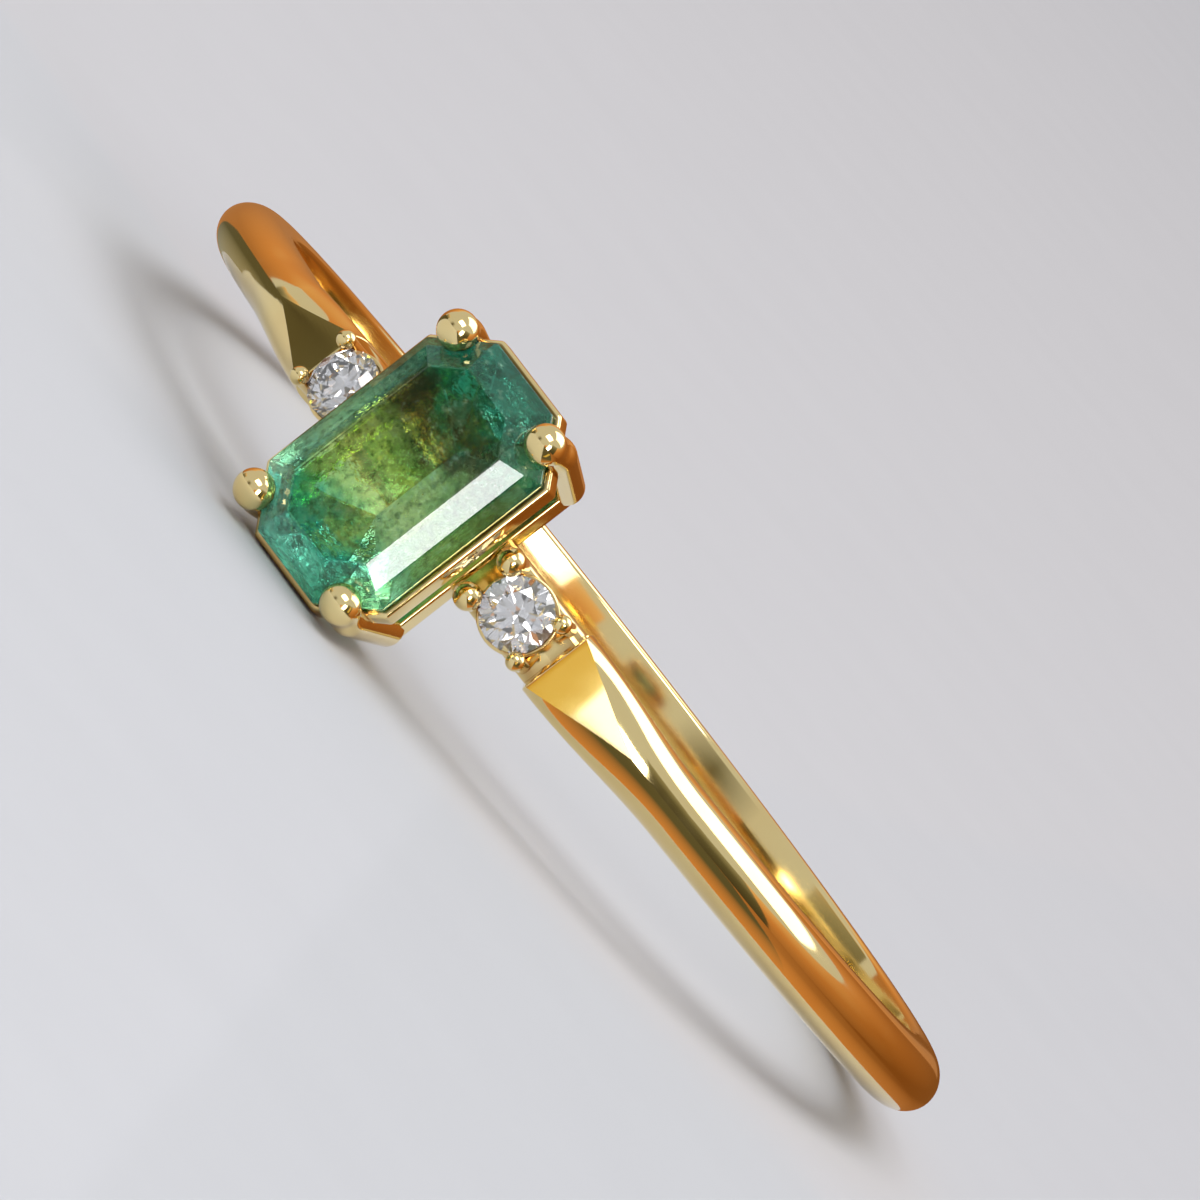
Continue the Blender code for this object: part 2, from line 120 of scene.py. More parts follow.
def on_ring(angle, radius):
    """The place of something set on the band: X along the band, Y along the bore, Z outward."""
    away = Vector((math.sin(angle), -math.cos(angle), 0.0))
    along_band = Vector((math.cos(angle), math.sin(angle), 0.0))
    place = Matrix((along_band, Vector((0.0, 0.0, 1.0)), away)).transposed().to_4x4()
    place.translation = away * radius
    return place


print("the head looks up by", round(math.degrees(math.asin(outward.z)), 2), "degrees")

# %% [markdown]
# ## Small helpers for smooth metal
#
# Everything made of gold here is lofted, which means that a surface is drawn over a row of rings of points:
# slices through the band, circles up a claw, outlines round a rail. One function draws that surface, so each
# piece is only a rule that says where its rings lie. The rings lie close together, so that the light slides
# over the metal without a break.


# %% Helpers: steps, easing and lofting
def between(start, end, share):
    return start + (end - start) * share


def steps(start, end, count):
    return [between(start, end, step / count) for step in range(count + 1)]


def ease(share):
    """A soft start and stop between 0 and 1."""
    held = min(max(share, 0.0), 1.0)
    return held * held * (3.0 - 2.0 * held)


def lofted(rings, closed=False):
    """A surface over rings that have as many points each. Open ends get a face each."""
    shape = bmesh.new()
    rows = [[shape.verts.new(point) for point in ring] for ring in rings]
    pairs = list(zip(rows, rows[1:]))
    if closed:
        pairs.append((rows[-1], rows[0]))
    for row, following in pairs:
        for corner in range(len(row)):
            shape.faces.new((row[corner - 1], row[corner], following[corner], following[corner - 1]))
    if not closed:
        shape.faces.new(rows[0])
        shape.faces.new(rows[-1])
    bmesh.ops.recalc_face_normals(shape, faces=shape.faces)
    return shape


def crisp(mesh, crisp_from):
    """Shades a mesh smooth, but crisp where faces meet at more than so many degrees."""
    mesh.shade_smooth()
    mesh.set_sharp_from_angle(angle=math.radians(crisp_from))
    return mesh


def mesh_of(name, shape):
    mesh = bpy.data.meshes.new(name)
    shape.to_mesh(mesh)
    shape.free()
    return mesh


def place_piece(name, mesh, place, material, stands_for, own_frame=False):
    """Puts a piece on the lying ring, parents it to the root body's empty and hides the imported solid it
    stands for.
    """
    piece = bpy.data.objects.new(name, mesh)
    bpy.context.scene.collection.objects.link(piece)
    if own_frame:
        piece.matrix_world = LYING @ place
    else:
        mesh.transform(LYING @ place)
    mesh.materials.clear()
    mesh.materials.append(material)
    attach(piece, "root")
    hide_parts(stands_for)
    print(name, "has", len(mesh.polygons), "faces")


# %% [markdown]
# ## Polished yellow gold
#
# Fourteen carat gold is a warm, rather pale metal. A metal in Blender is the Principled shader with its
# Metallic value at 1: the base colour is then the colour of its reflections. One flat colour looks like
# plastic foil, so three quiet things are added with noise in the ring's own millimetres: a slight drift of
# colour, roughness that changes where the ring has been rubbed, and hairline scratches, far too fine to be
# felt. Shade is painted into the creases: where an ambient occlusion node finds them, the gold is darker and
# redder.


# %% Helpers: shader nodes
def new_material(name):
    """An empty material with a Principled shader, and a function that adds nodes to it."""
    material = bpy.data.materials.new(name)
    material.use_nodes = True
    nodes = material.node_tree.nodes
    links = material.node_tree.links
    shader = nodes["Principled BSDF"]

    def add(kind, **sockets):
        node = nodes.new(kind)
        for label, value in sockets.items():
            socket = node.inputs[label.replace("_", " ")]
            if isinstance(value, bpy.types.NodeSocket):
                links.new(value, socket)
            else:
                socket.default_value = value
        return node

    return material, shader, add, links


def colour_ramp(add, factor, stops):
    """A ramp of colours, each stop a place from 0 to 1 and a linear colour."""
    ramp = add("ShaderNodeValToRGB", Fac=factor)
    points = ramp.color_ramp.elements
    for _ in stops[2:]:
        points.new(0.5)
    for point, (place, colour) in zip(points, stops):
        point.position = place
        point.color = (*colour, 1.0)
    return ramp.outputs["Color"]


def value_range(add, value, low, high, new_low, new_high):
    node = add("ShaderNodeMapRange", Value=value)
    for label, number in (("From Min", low), ("From Max", high), ("To Min", new_low), ("To Max", new_high)):
        node.inputs[label].default_value = number
    return node.outputs["Result"]


def mixed(add, links, share, first, second, way="MIX"):
    """Blends two colours by a share; each is a socket or a plain colour."""
    node = add("ShaderNodeMix")
    node.data_type = "RGBA"
    node.blend_type = way
    links.new(share, node.inputs[0])
    for socket, colour in ((node.inputs[6], first), (node.inputs[7], second)):
        if isinstance(colour, bpy.types.NodeSocket):
            links.new(colour, socket)
        else:
            socket.default_value = (*colour, 1.0)
    return node.outputs[2]


def worked_out(add, links, operation, first, second):
    node = add("ShaderNodeMath")
    node.operation = operation
    links.new(first, node.inputs[0])
    links.new(second, node.inputs[1])
    return node.outputs["Value"]


# %% The gold
GOLD_PALE = (0.95, 0.77, 0.37)
GOLD_WARM = (0.935, 0.725, 0.33)
# painted shade: the colour that the creases are darkened to
GOLD_CREASE_SHADE = (0.48, 0.24, 0.06)
RUBBED_PATCH = 1.5 * MM
SCRATCH_WIDTH = 0.02 * MM
SCRATCH_LENGTH = 0.6 * MM
SCRATCH_DEPTH = 0.00015 * MM
CREASE_REACH = 0.25 * MM
GOLD_ROUGHNESS = (0.05, 0.12)


def polished_gold():
    material, shader, add, links = new_material("polished_gold")
    where = add("ShaderNodeTexCoord").outputs["Object"]

    rubbed = add("ShaderNodeTexNoise", Vector=where, Scale=1 / RUBBED_PATCH, Detail=3.0).outputs["Fac"]
    drift = colour_ramp(add, rubbed, ((0.35, GOLD_WARM), (0.65, GOLD_PALE)))
    # painted shade: the base colour turns darker and redder where ambient occlusion finds the surface shut in
    open_sky = add("ShaderNodeAmbientOcclusion", Distance=CREASE_REACH)
    open_sky.samples = 6
    crease_shade = value_range(add, open_sky.outputs["AO"], 0.25, 0.8, 1.0, 0.0)
    links.new(mixed(add, links, crease_shade, drift, GOLD_CREASE_SHADE), shader.inputs["Base Color"])

    roughness = value_range(add, rubbed, 0.3, 0.7, *GOLD_ROUGHNESS)
    links.new(roughness, shader.inputs["Roughness"])
    shader.inputs["Metallic"].default_value = 1.0

    stretched = add("ShaderNodeMapping", Vector=where)
    stretched.inputs["Scale"].default_value = (1 / SCRATCH_LENGTH, 1 / SCRATCH_LENGTH, 1 / SCRATCH_WIDTH)
    hairlines = add("ShaderNodeTexNoise", Vector=stretched.outputs["Vector"], Scale=1.0, Detail=2.0)
    bump = add("ShaderNodeBump", Height=hairlines.outputs["Fac"], Strength=1.0, Distance=SCRATCH_DEPTH)
    links.new(bump.outputs["Normal"], shader.inputs["Normal"])
    return material


gold = polished_gold()
print("gold drifts between", GOLD_WARM, "and", GOLD_PALE)

# %% [markdown]
# ## The band
#
# On the real ring the band is domed outside and flat inside. Beside each small stone it is cut square, and
# the file has left a flat triangle there that runs out into the dome. A bevelled curve couldn't do that,
# because its slice is the same all the way round. So the band is lofted over slices, and every slice asks
# how wide, how thick and how flat the band is at its angle.

# %% Sizes of the band
BAND_THICKNESS = 1.10 * MM
SHOULDER_THICKNESS = 1.28 * MM
FACET_TIP_THICKNESS = 1.18 * MM
BACK_WIDTH = 1.35 * MM
WAIST_WIDTH = 1.15 * MM
SHOULDER_WIDTH = 1.45 * MM
BRIDGE_WIDTH = 1.30 * MM
SIDE_WALL = 0.40 * MM
SHOULDER_WALL = 0.90 * MM
BRIDGE_WALL = 0.50 * MM
BORE_EDGE = 0.10 * MM
CREST = 0.004 * MM  # half of the narrow flat that is left on top of the dome
WAIST_ARC = 3.6 * MM
FACET_ARC = 2.1 * MM
FACET_MARGIN = 0.08 * MM
SHOULDER_GAP = 0.18 * MM
SHOULDER_DRAFT = 0.06 * MM
CUT_EDGE = 0.035 * MM  # how far the edge of the square cut is rounded
FILED_SLOPE = math.radians(1.4)  # the filed triangle is a trace domed
BAND_CRISP = 24.0  # degrees between faces from which an edge of the band looks crisp

EDGE_STEPS = 5  # how finely each rounded edge, dome and stretch of the band is drawn
DOME_STEPS = 18
BRIDGE_SLICES = 30
SHOULDER_SLICES = 24
BACK_SLICES = 150

BIG_BEAD_RADIUS = 0.25 * MM
SMALL_BEAD_RADIUS = 0.17 * MM
BEAD_OVERLAP = 0.04 * MM
BIG_BEAD_TURN = math.radians(32)
SMALL_BEAD_TURN = math.radians(39)
BIG_BEAD_REACH = DIAMOND_DIAMETER / 2 + BIG_BEAD_RADIUS - BEAD_OVERLAP
SMALL_BEAD_REACH = DIAMOND_DIAMETER / 2 + SMALL_BEAD_RADIUS - BEAD_OVERLAP

SHOULDER_RADIUS = BORE_RADIUS + SHOULDER_THICKNESS
SHOULDER_PLACE = SMALL_BEAD_REACH * math.cos(SMALL_BEAD_TURN) + SMALL_BEAD_RADIUS + SHOULDER_GAP
SHOULDER_ANGLE = DIAMOND_ANGLE + SHOULDER_PLACE / SHOULDER_RADIUS
FACET_END = SHOULDER_ANGLE + FACET_ARC / SHOULDER_RADIUS
WAIST_ANGLE = SHOULDER_ANGLE + WAIST_ARC / SHOULDER_RADIUS
print("square cut at", round(math.degrees(SHOULDER_ANGLE), 1), "degrees from the head")


# %% One slice of the band
def slice_outline(width, thickness, wall, flat, inset=0.0, slope=0.0):
    """Height above the bore and place along it, round one slice that is drawn in by inset."""
    half = width / 2 - inset
    top = thickness - inset
    dome_stop = math.acos((flat - min(inset, flat / 2)) / half)
    dome = (top - wall) / math.sin(dome_stop)
    side = []
    for turn in steps(0.0, math.pi / 2, EDGE_STEPS):
        side.append((BORE_EDGE * (1 - math.cos(turn)), half - BORE_EDGE * (1 - math.sin(turn))))
    for turn in steps(0.0, dome_stop, DOME_STEPS):
        side.append((wall + dome * math.sin(turn), half * math.cos(turn)))
    crest = (top + side[-1][1] * math.tan(slope), 0.0)
    return side + [crest] + [(height, -place) for height, place in reversed(side)]


def crown_line(angle):
    """Bore to the top of the band: straight along the filed triangle, then running out to the waist."""
    if angle >= FACET_END:
        to_waist = ease((angle - FACET_END) / (WAIST_ANGLE - FACET_END))
        return between(FACET_TIP_THICKNESS, BAND_THICKNESS, to_waist)
    base = BORE_RADIUS + SHOULDER_THICKNESS
    tip = BORE_RADIUS + FACET_TIP_THICKNESS
    spread = base * math.sin(angle - SHOULDER_ANGLE) + tip * math.sin(FACET_END - angle)
    return base * tip * math.sin(FACET_END - SHOULDER_ANGLE) / spread - BORE_RADIUS


def band_slice(angle, inset=0.0):
    """The slice of the domed band at an angle from the head."""
    to_waist = ease((angle - SHOULDER_ANGLE) / (WAIST_ANGLE - SHOULDER_ANGLE))
    to_back = ease((angle - WAIST_ANGLE) / (math.pi - WAIST_ANGLE))
    width = between(between(SHOULDER_WIDTH, WAIST_WIDTH, to_waist), BACK_WIDTH, to_back)
    wall = between(SHOULDER_WALL, SIDE_WALL, to_waist)
    facet_left = max(0.0, (FACET_END - angle) / (FACET_END - SHOULDER_ANGLE))
    flat = between(CREST, width / 2 - FACET_MARGIN, facet_left)
    return slice_outline(width, crown_line(angle), wall, flat, inset, FILED_SLOPE)


def bridge_slice():
    rounded = BRIDGE_THICKNESS - BRIDGE_WALL
    return slice_outline(BRIDGE_WIDTH, BRIDGE_THICKNESS, BRIDGE_WALL, BRIDGE_WIDTH / 2 - rounded)


# %% The band as one surface
def band_slices():
    """All slices round the ring, from the head round the right side and back up the left."""
    draft = SHOULDER_DRAFT / SHOULDER_RADIUS
    edge = CUT_EDGE / SHOULDER_RADIUS
    half = [(angle, bridge_slice()) for angle in steps(0.0, SHOULDER_ANGLE - draft, BRIDGE_SLICES)]
    for turn in steps(0.0, math.pi / 2, EDGE_STEPS):
        angle = SHOULDER_ANGLE + edge * (1 - math.cos(turn))
        half.append((angle, band_slice(angle, CUT_EDGE * (1 - math.sin(turn)))))
    for start, end, count in (
        (SHOULDER_ANGLE + edge, FACET_END, SHOULDER_SLICES),
        (FACET_END, WAIST_ANGLE, SHOULDER_SLICES),
        (WAIST_ANGLE, math.pi, BACK_SLICES),
    ):
        half += [(angle, band_slice(angle)) for angle in steps(start, end, count)[1:]]
    return half + [(-angle, outline) for angle, outline in reversed(half[1:-1])]


def band_mesh():
    """The band, with the long edges of the filed triangles marked as sharp."""
    rings = []
    on_triangle = set()
    for angle, outline in band_slices():
        place = on_ring(angle, BORE_RADIUS)
        if SHOULDER_ANGLE <= abs(angle) <= FACET_END:
            crest = len(rings) * len(outline) + len(outline) // 2
            on_triangle.update((crest - 1, crest + 1))
        rings.append([place @ Vector((0.0, along, height)) for height, along in outline])
    mesh = crisp(mesh_of("gold_band", lofted(rings, closed=True)), BAND_CRISP)
    for edge in mesh.edges:
        first, second = edge.vertices
        if first in on_triangle and second in on_triangle:
            edge.use_edge_sharp = True
    return mesh


place_piece("gold_band", band_mesh(), Matrix.Identity(4), gold, "band_and_setting")

# %% [markdown]
# ## Cut stones
#
# A cut stone has only flat faces, so it is the hull of its facets' corners: nothing needs to be said about
# which corner joins which. The hull comes as triangles, and those that lie in one plane are joined up
# again. The corners are worked out so that each facet really is flat.


# %% Helpers: outlines and hulls
SAME_PLANE = 0.004  # radians between two triangles that still belong to one facet


def octagon(length, width, corner, outset=0.0):
    """A rectangle with cut corners, grown by outset on every side. X runs across, Y along."""
    along = length / 2 + outset
    across = width / 2 + outset
    cut = corner + outset * (2.0 - math.sqrt(2.0))
    quarter = [(across, along - cut), (across - cut, along)]
    right = quarter + [(-x, y) for x, y in reversed(quarter)]
    return right + [(-x, -y) for x, y in right]


def hull_shape(points, edge=0.0):
    """The hull of the facets' corners, worked out in millimetres, where Blender's own limits are fine."""
    shape = bmesh.new()
    for point in points:
        shape.verts.new(Vector(point) / MM)
    bmesh.ops.convex_hull(shape, input=shape.verts)
    bmesh.ops.dissolve_limit(shape, angle_limit=SAME_PLANE, verts=shape.verts, edges=shape.edges)
    bmesh.ops.recalc_face_normals(shape, faces=shape.faces)
    if edge:
        bmesh.ops.bevel(shape, geom=shape.edges[:], offset=edge / MM, segments=1, affect="EDGES")
    bmesh.ops.scale(shape, vec=(MM, MM, MM), verts=shape.verts)
    return shape


# %% [markdown]
# ## The emerald
#
# It is step cut: rows of long narrow facets run parallel to the outline, two rows above the girdle and
# three below, down to a keel. The edges between the facets are polished off by almost two hundredths of a
# millimetre, which is enough to draw a thin bright line along them.

# %% The emerald's facets
CROWN_INSET = 0.62 * MM
LOWER_CROWN_HEIGHT = 0.23 * MM
LOWER_CROWN_INSET = 0.21 * MM
PAVILION_STEPS = ((0.27, 0.38), (0.58, 0.69))


def emerald_corners(clearance=0.0):
    rows = [
        (CROWN_HEIGHT + clearance, -CROWN_INSET),
        (LOWER_CROWN_HEIGHT + clearance, -LOWER_CROWN_INSET),
        (clearance, 0.0),
        (-EMERALD_GIRDLE - clearance, 0.0),
    ]
    for inset_share, depth_share in PAVILION_STEPS:
        depth = EMERALD_GIRDLE + PAVILION_DEPTH * depth_share + clearance
        rows.append((-depth, -EMERALD_WIDTH / 2 * inset_share))
    corners = []
    for height, outset in rows:
        outline = octagon(EMERALD_LENGTH, EMERALD_WIDTH, EMERALD_CORNER, outset + clearance)
        corners += [(x, y, height) for x, y in outline]
    keel_half = (EMERALD_LENGTH - EMERALD_WIDTH) / 2
    keel_depth = EMERALD_GIRDLE + PAVILION_DEPTH + clearance
    return corners + [(0.0, keel_half, -keel_depth), (0.0, -keel_half, -keel_depth)]


# %% [markdown]
# ## The emerald's colour
#
# Emeralds are seldom clean. This one is mossy: bluish green at its two ends, yellow green left of the middle
# and a dark olive right of it, with fine cloudy wisps all through: dark ones, and pale ones that are milky
# flaws and painted glints at once. Clear green glass would look like a sweet, so the colour is a ramp along
# the stone's own length, pushed about by noise so that no zone has a straight edge. The light meets it on the
# way in and again on the way out, so the two patterns lie over each other and the flaws seem to be deep in
# the stone. The sloping facets round the table are a lighter turquoise at one end and a deep teal at the
# other, and greener on the right. The underside is a little wavy, which breaks up its reflections as the
# flaws do, while the crown stays flat and shiny.

# %% The emerald's colour
EMERALD_INDEX = 1.58
EMERALD_EDGE = 0.018 * MM
COLOUR_ZONES = (
    (0.00, (0.14, 0.92, 0.72)),
    (0.17, (0.07, 0.68, 0.44)),
    (0.29, (0.28, 0.66, 0.22)),
    (0.43, (0.72, 0.96, 0.32)),
    (0.54, (0.34, 0.62, 0.16)),
    (0.64, (0.13, 0.13, 0.04)),
    (0.73, (0.06, 0.11, 0.04)),
    (0.83, (0.02, 0.30, 0.15)),
    (1.00, (0.01, 0.27, 0.19)),
)
CROWN_TEALS = ((0.10, (0.50, 0.97, 0.84)), (0.55, (0.30, 0.80, 0.62)), (0.85, (0.01, 0.24, 0.16)))
CROWN_GREENS = ((0.10, (0.12, 0.62, 0.34)), (0.50, (0.08, 0.36, 0.08)), (0.85, (0.01, 0.20, 0.10)))
# painted glint colour, which also stands for the milky flaws
MILKY_GLINT = (0.58, 0.90, 0.62)
CLOUD_SIZE = 0.60 * MM
WISP_SIZE = 0.16 * MM
CLOUD_PUSH = 1.0 * MM
UNDERSIDE_WAVES = 0.05 * MM
WAVES_FROM = 0.10 * MM
MURK = (0.015, 0.08, 0.03)


def mossy_emerald():
    material, shader, add, links = new_material("mossy_emerald")
    where = add("ShaderNodeTexCoord").outputs["Object"]
    place = add("ShaderNodeSeparateXYZ", Vector=where)
    cloudy = add("ShaderNodeTexNoise", Vector=where, Scale=1 / CLOUD_SIZE, Detail=4.0, Roughness=0.6)
    clouds = cloudy.outputs["Fac"]
    wispy = add("ShaderNodeTexNoise", Vector=where, Scale=1 / WISP_SIZE, Detail=5.0, Roughness=0.65)
    wisps = wispy.outputs["Fac"]

    push = value_range(add, clouds, 0.3, 0.7, -CLOUD_PUSH / 2, CLOUD_PUSH / 2)
    pushed = worked_out(add, links, "ADD", place.outputs["Y"], push)
    along = value_range(add, pushed, -EMERALD_LENGTH / 2, EMERALD_LENGTH / 2, 0.0, 1.0)
    zones = colour_ramp(add, along, COLOUR_ZONES)
    down_crown = value_range(add, place.outputs["Z"], CROWN_HEIGHT * 0.98, CROWN_HEIGHT * 0.85, 0.0, 0.85)
    above_girdle = value_range(add, place.outputs["Z"], -EMERALD_GIRDLE * 1.2, -EMERALD_GIRDLE, 0.0, 1.0)
    on_crown = worked_out(add, links, "MULTIPLY", down_crown, above_girdle)
    to_right = value_range(add, place.outputs["X"], -EMERALD_WIDTH / 4, EMERALD_WIDTH / 4, 0.0, 1.0)
    teals = colour_ramp(add, along, CROWN_TEALS)
    greens = colour_ramp(add, along, CROWN_GREENS)
    crown = mixed(add, links, to_right, teals, greens)
    body = mixed(add, links, on_crown, zones, crown)
    murky = value_range(add, wisps, 0.36, 0.52, 0.7, 0.0)
    # pale wisps: milky flaws and painted glints at once
    milky_glints = value_range(add, wisps, 0.56, 0.74, 0.0, 0.55)
    moss = mixed(add, links, murky, body, MURK)
    links.new(mixed(add, links, milky_glints, moss, MILKY_GLINT), shader.inputs["Base Color"])

    roughness = value_range(add, wisps, 0.4, 0.7, 0.01, 0.05)
    links.new(roughness, shader.inputs["Roughness"])
    below = value_range(add, place.outputs["Z"], -WAVES_FROM, -2 * WAVES_FROM, 0.0, 1.0)
    waves = worked_out(add, links, "MULTIPLY", clouds, below)
    bump = add("ShaderNodeBump", Height=waves, Strength=1.0, Distance=UNDERSIDE_WAVES)
    links.new(bump.outputs["Normal"], shader.inputs["Normal"])
    shader.inputs["Transmission Weight"].default_value = 0.85
    shader.inputs["IOR"].default_value = EMERALD_INDEX
    return material


HEAD = on_ring(0.0, EMERALD_RADIUS)
emerald_mesh = mesh_of("cut_emerald", hull_shape(emerald_corners(), EMERALD_EDGE))
place_piece("cut_emerald", emerald_mesh, HEAD, mossy_emerald(), "emerald", own_frame=True)

# %% [markdown]
# ## The diamonds
#
# Round brilliants. Their corners follow from a few sizes: a kite facet runs from each corner of the table to
# the girdle, a star lies on each side of the table, and pairs of narrow facets fill in along the girdle.

# %% The diamonds' facets
DIAMOND_CROWN = 0.21 * MM
DIAMOND_TABLE = 0.74 * MM
STAR_REACH = 0.55
LOWER_HALF_REACH = 0.24
DIAMOND_INDEX = 2.417
TINY_CLOUD = 0.25 * MM


def ring_of(radius, height, count, offset):
    turns = [math.tau * (step + offset) / count for step in range(count)]
    return [(radius * math.cos(turn), radius * math.sin(turn), height) for turn in turns]


def brilliant_corners(clearance=0.0):
    girdle = DIAMOND_DIAMETER / 2 + clearance
    table = DIAMOND_TABLE / 2 + clearance
    side = math.cos(math.pi / 8)
    star = between(table * side, girdle, STAR_REACH)
    star_height = DIAMOND_CROWN * (girdle - star * side) / (girdle - table)
    low = girdle * LOWER_HALF_REACH
    low_depth = DIAMOND_PAVILION * (1 - low * side / girdle)
    below = -DIAMOND_GIRDLE - clearance
    corners = ring_of(table, DIAMOND_CROWN + clearance, 8, 0.0)
    corners += ring_of(star, star_height + clearance, 8, 0.5)
    corners += ring_of(girdle, clearance, 16, 0.0) + ring_of(girdle, below, 16, 0.0)
    corners += ring_of(low, below - low_depth, 8, 0.5)
    return corners + [(0.0, 0.0, below - DIAMOND_PAVILION)]


# %% The diamonds
def clear_diamond():
    """Nearly clear, with the tiny white clouds that most small diamonds have."""
    material, shader, add, links = new_material("clear_diamond")
    where = add("ShaderNodeTexCoord").outputs["Object"]
    clouds = add("ShaderNodeTexNoise", Vector=where, Scale=1 / TINY_CLOUD, Detail=3.0).outputs["Fac"]
    tint = colour_ramp(add, clouds, ((0.35, (0.93, 0.94, 0.97)), (0.55, (1.0, 1.0, 1.0))))
    links.new(tint, shader.inputs["Base Color"])
    shader.inputs["Transmission Weight"].default_value = 0.95
    shader.inputs["IOR"].default_value = DIAMOND_INDEX
    shader.inputs["Roughness"].default_value = 0.0
    return material


diamond_white = clear_diamond()
SIDES = ((1, "right"), (-1, "left"))
for side, word in SIDES:
    name = f"brilliant_{word}"
    mesh = mesh_of(name, hull_shape(brilliant_corners()))
    place = on_ring(side * DIAMOND_ANGLE, DIAMOND_RADIUS)
    place_piece(name, mesh, place, diamond_white, f"diamond_{word}", own_frame=True)

# %% [markdown]
# ## The basket
#
# Four round claws stand on a small base rail, pass the gallery rail on which the stone sits, and end in
# balls that are pressed over the stone's corners. Each is made by itself, then they are soldered: a Boolean
# union joins them, and the emerald's own shape, a touch larger, is cut out where the stone sits.

# %% Sizes of the basket
CLAW_RADIUS = 0.30 * MM
CLAW_BALL_RADIUS = 0.36 * MM
CLAW_STAND = 0.20 * MM
CLAW_TIP_STAND = 0.06 * MM
CLAW_RISE = 0.20 * MM
CLAW_LEAN = 0.19
CLAW_FOOT_ROUNDING = 0.5  # height of the rounded foot, as a share of the claw's radius
CLAW_BEND_FROM = -0.35 * MM
GALLERY_HEIGHT = 0.45 * MM
GALLERY_LEDGE = 0.55 * MM
BASE_RAIL_HEIGHT = 0.45 * MM
BASE_RAIL_WIDTH = 0.40 * MM
BASE_RAIL_CORNER = 0.20 * MM
BASE_RAIL_LIFT = 0.35 * MM
STONE_CLEARANCE = 0.05 * MM
SEAT_PLAY = 0.012 * MM

BALL_HEIGHT = CROWN_HEIGHT + CLAW_RISE - CLAW_BALL_RADIUS
BASE_TOP = BORE_RADIUS + BASE_RAIL_LIFT + BASE_RAIL_HEIGHT - EMERALD_RADIUS
BASE_MIDDLE = BASE_TOP - BASE_RAIL_HEIGHT / 2

FOOT_STEPS = 6
STEM_STEPS = 40
BALL_STEPS = 14


# %% One claw
def disc(middle, radius, sides=36):
    points = []
    for step in range(sides):
        turn = math.tau * step / sides
        x = middle.x + radius * math.cos(turn)
        y = middle.y + radius * math.sin(turn)
        points.append((x, y, middle.z))
    return points


def claw_middle(height, right, up):
    """The claw's middle line: leaning out from the base, then bending in over the stone's corner."""
    corner = Vector((EMERALD_WIDTH - EMERALD_CORNER, EMERALD_LENGTH - EMERALD_CORNER, 0.0)) / 2
    leaning = CLAW_STAND + CLAW_LEAN * min(height, 0.0)
    bent = ease((height - CLAW_BEND_FROM) / (BALL_HEIGHT - CLAW_BEND_FROM))
    stand = between(leaning, CLAW_TIP_STAND, bent)
    middle = corner + Vector((1.0, 1.0, 0.0)).normalized() * stand
    return Vector((right * middle.x, up * middle.y, height))


def claw_shape(right, up):
    rings = []
    for turn in steps(math.radians(-80), 0.0, FOOT_STEPS)[:-1]:
        height = BASE_MIDDLE + CLAW_RADIUS * CLAW_FOOT_ROUNDING * math.sin(turn)
        rings.append(disc(claw_middle(height, right, up), CLAW_RADIUS * math.cos(turn)))
    for share in steps(0.0, 1.0, STEM_STEPS)[:-1]:
        height = between(BASE_MIDDLE, BALL_HEIGHT, share)
        swell = ease(height / BALL_HEIGHT)
        rings.append(disc(claw_middle(height, right, up), between(CLAW_RADIUS, CLAW_BALL_RADIUS, swell)))
    for turn in steps(0.0, math.radians(87), BALL_STEPS):
        middle = claw_middle(BALL_HEIGHT, right, up)
        middle.z += CLAW_BALL_RADIUS * math.sin(turn)
        rings.append(disc(middle, CLAW_BALL_RADIUS * math.cos(turn)))
    return lofted(rings)


# %% One rail
RAIL_EDGE = 0.06 * MM
RAIL_TURN = 0.10 * MM


def rounded_outline(outline, radius, count=4):
    """A convex outline whose corners are arcs of the given radius."""
    rounded = []
    for place in range(len(outline)):
        before = Vector(outline[place - 1])
        here = Vector(outline[place])
        after = Vector(outline[(place + 1) % len(outline)])
        back = (before - here).normalized()
        ahead = (after - here).normalized()
        half_angle = back.angle(ahead) / 2
        middle = here + (back + ahead).normalized() * (radius / math.sin(half_angle))
        reach = radius / math.tan(half_angle)
        start = (here + back * reach - middle).normalized()
        end = (here + ahead * reach - middle).normalized()
        for share in steps(0.0, 1.0, count):
            spoke = start.slerp(end, share) * radius
            rounded.append((middle.x + spoke.x, middle.y + spoke.y))
    return rounded


def rail_shape(length, width, corner, outer, inner, top, height):
    """A rail round an octagon, from the inner outset to the outer, with rounded edges."""
    corners = (
        (outer - RAIL_EDGE, top - RAIL_EDGE, 0),
        (inner + RAIL_EDGE, top - RAIL_EDGE, 90),
        (inner + RAIL_EDGE, top - height + RAIL_EDGE, 180),
        (outer - RAIL_EDGE, top - height + RAIL_EDGE, 270),
    )
    rings = []
    for outset, level, start in corners:
        for turn in steps(math.radians(start), math.radians(start + 90), EDGE_STEPS):
            grown = outset + RAIL_EDGE * math.cos(turn)
            outline = rounded_outline(octagon(length, width, corner, grown), RAIL_TURN)
            rings.append([(x, y, level + RAIL_EDGE * math.sin(turn)) for x, y in outline])
    return lofted(rings, closed=True)


# %% Solder the basket together
SOLDER_CRISP = 34.0  # degrees between faces from which a soldered edge looks crisp


def tool(name, shape):
    """A helper object that joins or cuts and is thrown away afterwards."""
    helper = bpy.data.objects.new(name, mesh_of(name, shape))
    bpy.context.scene.collection.objects.link(helper)
    return helper


